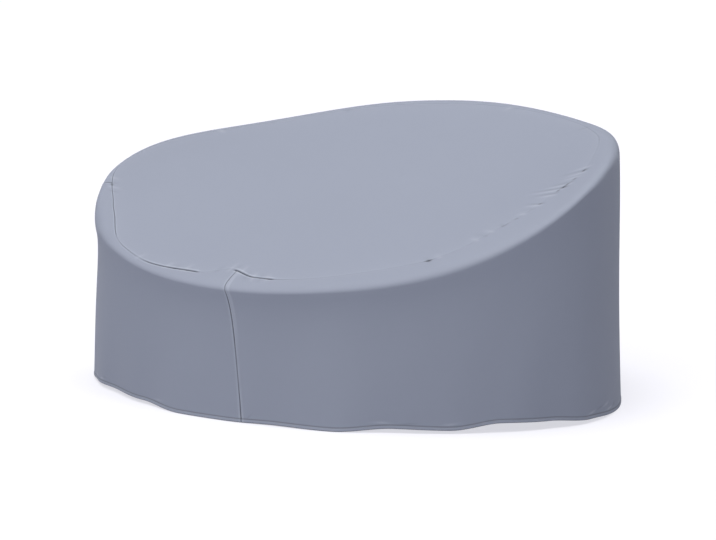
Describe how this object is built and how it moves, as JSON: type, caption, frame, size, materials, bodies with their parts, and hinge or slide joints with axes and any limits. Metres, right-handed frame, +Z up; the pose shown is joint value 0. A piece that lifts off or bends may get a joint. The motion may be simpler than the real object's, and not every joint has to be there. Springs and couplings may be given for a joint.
{
  "type": "patio furniture cover",
  "caption": "Fitted fabric cover for oval outdoor lounge furniture: a sloping oval top over a rounded rim, a hanging skirt with a turned hem, and an open underside.",
  "frame": {"origin": "on the underside of the top panel, near the middle of the plan, where the cover is held up from inside", "axes": "+X along the long side, +Y to the high back, so -Y is the low front, +Z up"},
  "size_m": [1.9596, 1.5407, 1.0343],
  "materials": {
    "top_cloth": "matte coated weave",
    "skirt_cloth": "matte coated weave",
    "end_cloth": "matte coated weave"
  },
  "bodies": {
    "root": {"top_panel": "top_cloth", "long_skirt": "skirt_cloth", "end_skirt": "end_cloth"}
  },
  "joints": []
}
